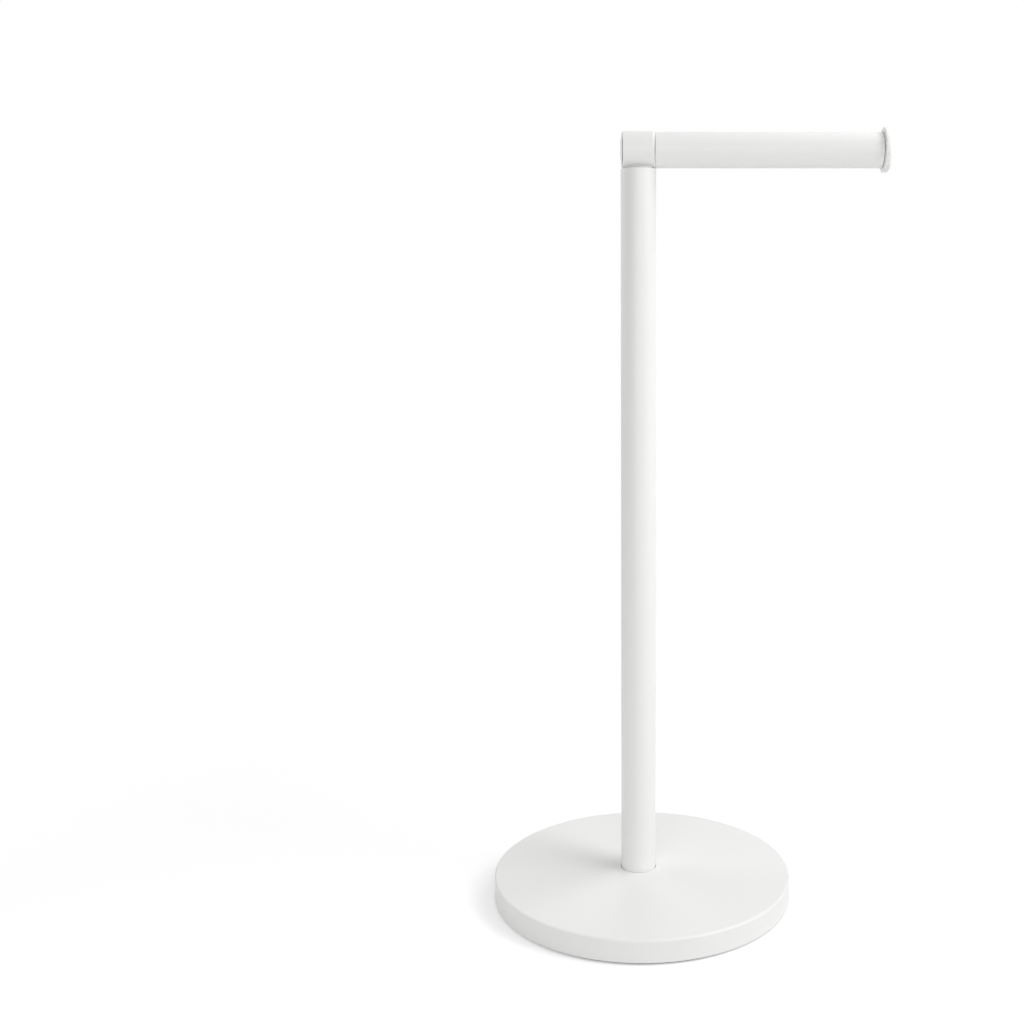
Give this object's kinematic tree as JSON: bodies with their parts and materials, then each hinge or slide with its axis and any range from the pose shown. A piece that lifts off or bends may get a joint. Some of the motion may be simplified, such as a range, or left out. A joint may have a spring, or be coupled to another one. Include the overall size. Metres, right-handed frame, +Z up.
{
  "type": "freestanding toilet paper holder",
  "caption": "White free-standing toilet paper holder: a weighted round base, a slim tube post and a turning head with one horizontal arm that ends in a domed flange.",
  "frame": {"origin": "middle of the round base's underside, on the floor", "axes": "+Z up along the post, +X along the arm at rest, -Y is the front that the picture shows"},
  "size_m": [0.2472, 0.188, 0.4837],
  "materials": {
    "white_coat": "satin white powder coat on steel",
    "dark_pad": "matt dark foam rubber",
    "cast_iron": "raw cast iron",
    "zinc_steel": "zinc plated",
    "machined_steel": "turned steel",
    "spring_steel": "blued spring steel",
    "nylon": "natural nylon"
  },
  "bodies": {
    "stand": {"base_pad": "dark_pad", "base_cover": "white_coat", "ballast_disc": "cast_iron", "cover_screw_1": "zinc_steel", "cover_screw_2": "zinc_steel", "cover_screw_3": "zinc_steel", "cover_weld_nut_1": "machined_steel", "cover_weld_nut_2": "machined_steel", "cover_weld_nut_3": "machined_steel", "base_bolt": "zinc_steel", "base_flat_washer": "zinc_steel", "base_lock_washer": "zinc_steel", "post_tube": "white_coat", "post_foot_insert": "machined_steel", "post_top_plug": "white_coat", "swivel_bush": "nylon"},
    "arm": {"swivel_screw": "zinc_steel", "swivel_flat_washer": "zinc_steel", "disc_spring_1": "spring_steel", "disc_spring_2": "spring_steel", "head_body": "white_coat", "head_end_cap": "white_coat", "arm_screw": "zinc_steel", "arm_lock_washer": "zinc_steel", "arm_root_plug": "machined_steel", "arm_tube": "white_coat", "arm_end_plug": "machined_steel", "flange_stud": "zinc_steel", "end_flange": "white_coat"}
  },
  "joints": [
    {"name": "arm_swivel", "type": "hinge", "parent": "stand", "child": "arm", "pos_m": [-0.0023, 0.0054, 0.4588], "axis": [0, 0, 1], "continuous": true}
  ]
}
